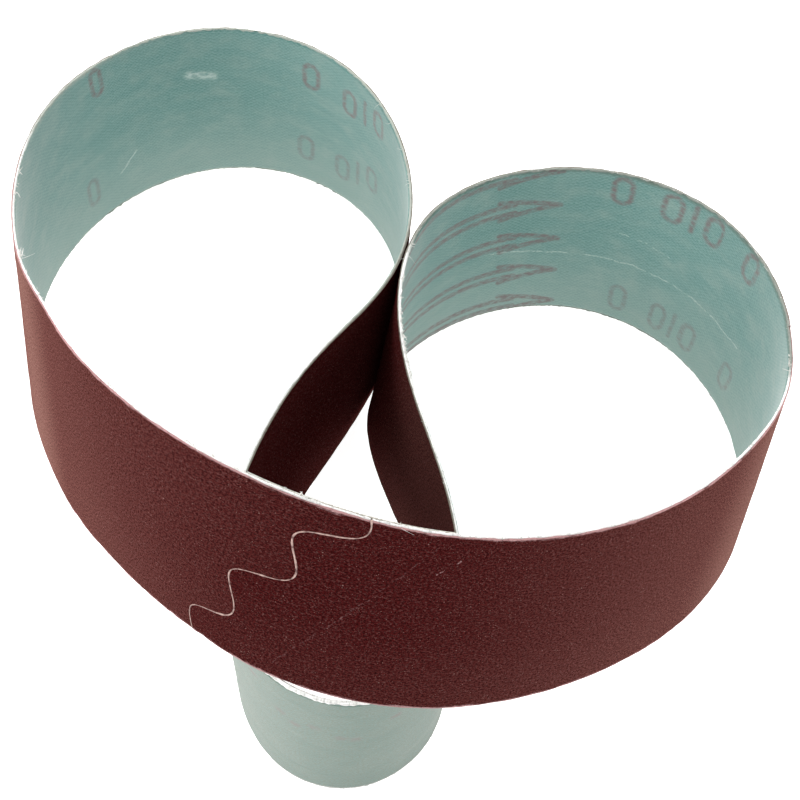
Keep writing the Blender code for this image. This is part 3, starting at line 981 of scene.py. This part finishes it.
# Tufts on the upper edge: place along, spread, how many threads, and their length.
TUFTS_MM = (
    (146, 4, 24, 0.9),
    (109, 0.9, 9, 1.9),
    (76, 4, 8, 0.9),
    (29.5, 3, 7, 0.7),
    (22.5, 3, 5, 0.6),
    (4, 5, 6, 0.6),
    (918.5, 2, 8, 1.1),
    (911, 4, 10, 0.7),
    (904, 4, 14, 0.7),
    (604, 2.0, 6, 1.1),
    (591, 5, 22, 0.6),
    (579, 5, 60, 0.8),
    (570, 3, 36, 0.9),
    (745, 2, 8, 1.0),
)


def thread_piece():
    """Closed curling tubes, each from a root on the cut edge, thinning along its length.

    Along the belt a thread leans in step with its length and curls with the square of it. It rises and then
    droops in the same way. Tufts are thicker and lean to the cloth side.
    """
    random = np.random.default_rng(61)
    roots = random.uniform(0, BELT_LENGTH, THREAD_COUNT)
    every = [np.stack([roots, random.gamma(2.0, THREAD_LENGTH, THREAD_COUNT)])]
    for centre, spread, count, length in TUFTS_MM:
        roots = random.normal(centre * MM, spread * MM, count)
        every.append(np.stack([roots, length * MM * random.uniform(*TUFT_LENGTHS, count)]))
    root, length = np.concatenate(every, axis=1)
    count = len(root)
    upper = np.ones(count, bool)
    upper[:THREAD_COUNT] = random.random(THREAD_COUNT) < UPPER_SHARE
    lean_along, lean_out = random.normal(*LEAN_ALONG, count), random.normal(*LEAN_OUT, count)
    curl = random.normal(*CURL, count)
    rise = np.clip(random.normal(*RISE, count), *RISE_LIMITS)
    level = random.uniform(*THREAD_LEVELS, count)
    thick = random.uniform(*THREAD_RADII, count)
    thick[THREAD_COUNT:] *= TUFT_THICKNESS
    lean_out[THREAD_COUNT:] = np.abs(lean_out[THREAD_COUNT:])
    share = np.linspace(0, 1, THREAD_STEPS)
    x = root[:, None] + length[:, None] * (lean_along[:, None] * share + curl[:, None] * share**2)
    y = length[:, None] * (rise[:, None] * share - THREAD_DROOP * share**2) - THREAD_ROOT
    y = np.where(upper[:, None], BELT_WIDTH + y, np.maximum(-y, THREAD_ROOT))
    z = level[:, None] + length[:, None] * lean_out[:, None] * share
    turn = 2 * math.pi * np.arange(THREAD_AROUND) / THREAD_AROUND
    radius = (thick[:, None] * (1 - THREAD_THINNING * share))[..., None]
    around_x, around_z = x[..., None] + radius * np.cos(turn), z[..., None] + radius * np.sin(turn)
    flat = np.stack(np.broadcast_arrays(around_x, y[..., None], around_z), axis=-1)
    faces = wrapped_quads(THREAD_STEPS, THREAD_AROUND)
    steps = THREAD_STEPS * THREAD_AROUND * np.arange(count)
    faces = (faces + steps[:, None, None]).reshape(-1, 4)
    return piece_from("loose_threads", bent(flat), faces, flat[..., :2])


def thread_material():
    """Cotton, soiled in patches."""
    material, tree, shader = new_material("loose cotton", 0.85)
    place = flat_place(tree)
    shade = noise(tree, place, 1 * MM, 1 * MM)
    colour = blend(tree, ramp(tree, shade, 0.4, 0.7, 0.0, 0.4), THREAD_COLOUR, FRAY_STAINED)
    tree.links.new(colour, shader.inputs["Base Color"])
    shader.inputs["Sheen Weight"].default_value = 0.3
    return material


threads = thread_piece()
threads.data.materials.append(thread_material())
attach(threads, "root")

# Floor, light and camera
# A white sweep under broad soft lights, seen from the front and 58 degrees above, as in the photo.

FLOOR_SIZE = 6.0
floor_mesh = bpy.data.meshes.new("floor")
half = FLOOR_SIZE / 2
corners = [(-half, -half, 0), (half, -half, 0), (half, half, 0), (-half, half, 0)]
floor_mesh.from_pydata(corners, [], [(0, 1, 2, 3)])
floor = bpy.data.objects.new("floor", floor_mesh)
bpy.context.scene.collection.objects.link(floor)
floor_paint = bpy.data.materials.new("white floor")
floor_paint.use_nodes = True
floor_shader = floor_paint.node_tree.nodes["Principled BSDF"]
floor_shader.inputs["Base Color"].default_value = (0.93, 0.92, 0.91, 1)
floor_shader.inputs["Roughness"].default_value = 0.8
floor_shader.inputs["Emission Color"].default_value = (1, 1, 1, 1)
floor_shader.inputs["Emission Strength"].default_value = 0.85
floor_mesh.materials.append(floor_paint)

world = bpy.data.worlds.new("studio")
world.use_nodes = True
background = world.node_tree.nodes["Background"]
background.inputs["Color"].default_value = (1, 1, 1, 1)
background.inputs["Strength"].default_value = 0.1
bpy.context.scene.world = world
NEARLY_OVERHEAD = 0.99


def turned(side, up, back):
    """The rotation that takes x, y and z to side, up and back."""
    return Matrix(np.stack([side, up, back], axis=1).tolist()).to_euler()


def soft_light(name, place, size, power):
    """A square soft box of that size in metres and power in watts, turned to face the belt."""
    lamp = bpy.data.lights.new(name, "AREA")
    lamp.size = size
    lamp.energy = power
    box = bpy.data.objects.new(name, lamp)
    bpy.context.scene.collection.objects.link(box)
    box.location = place
    aim = unit(np.array(place))
    overhead = aim[2] > NEARLY_OVERHEAD
    side = np.array((1.0, 0, 0)) if overhead else unit(np.cross((0, 0, 1.0), aim))
    box.rotation_euler = turned(side, np.cross(aim, side), aim)


soft_light("left box", (-1.2, 0.1, 0.6), 1.0, 11)
soft_light("right box", (1.2, 0.1, 0.6), 1.0, 5)
soft_light("top box", (0.0, 0.1, 1.5), 1.2, 7)
soft_light("back box", (0.0, 1.2, 0.7), 1.0, 20)
soft_light("front box", (0.0, -1.2, 0.9), 1.0, 7.5)

CAMERA_PLACE = np.array((-30.66, -254.43, 424.20)) * MM
CAMERA_RIGHT = np.array((0.9923, -0.1239, -0.0004))
CAMERA_UP = np.array((0.1053, 0.8417, 0.5296))
CAMERA_BACK = np.array((-0.0653, -0.5256, 0.8482))
FOCAL_LENGTH_MM = 85.5
SENSOR_WIDTH_MM = 36
NEAREST_SEEN = 0.01
lens = bpy.data.cameras.new("camera")
lens.lens = FOCAL_LENGTH_MM
lens.sensor_width = SENSOR_WIDTH_MM
lens.clip_start = NEAREST_SEEN
camera = bpy.data.objects.new("camera", lens)
bpy.context.scene.collection.objects.link(camera)
camera.location = CAMERA_PLACE
camera.rotation_euler = turned(CAMERA_RIGHT, CAMERA_UP, CAMERA_BACK)
bpy.context.scene.camera = camera
bpy.context.scene.view_settings.view_transform = "Standard"
